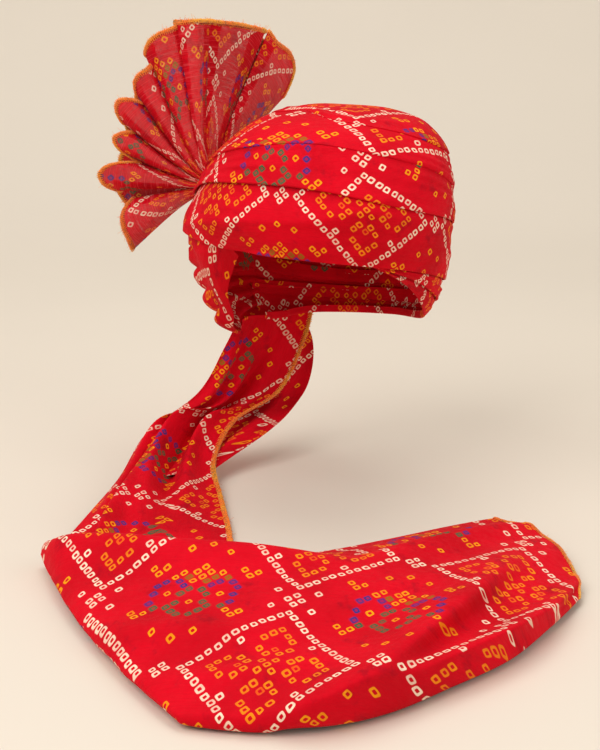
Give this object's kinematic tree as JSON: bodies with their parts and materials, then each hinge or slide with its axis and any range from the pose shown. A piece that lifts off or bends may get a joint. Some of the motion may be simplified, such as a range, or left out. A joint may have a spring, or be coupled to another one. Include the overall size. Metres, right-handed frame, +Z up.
{
  "type": "tied turban",
  "caption": "Tied turban of thin printed cotton with a crown, shingled wraps, side gathers, a pleated fan plume and a long loose tail; worn on the head.",
  "frame": {"origin": "centre of the head opening, on the axis of the head that wears it, level with the band above the ears", "axes": "+Z up along the head's axis, -Y towards the front of the face, +X to the right of the picture"},
  "size_m": [0.4377, 0.6342, 0.4277],
  "materials": {
    "printed_cotton": "thin red cotton with a tie-dye dot print in cream, yellow, green and blue",
    "orange_thread": "overlocked orange thread edge"
  },
  "bodies": {
    "root": {"crown": "printed_cotton", "upper_wrap": "printed_cotton", "front_band": "printed_cotton", "under_wrap": "printed_cotton", "nape_wrap": "printed_cotton", "side_gather": "printed_cotton", "plume": "printed_cotton", "plume_edging": "orange_thread", "tail": "printed_cotton", "tail_backing": "printed_cotton", "tail_side_edging": "orange_thread", "tail_end_edging": "orange_thread"}
  },
  "joints": []
}
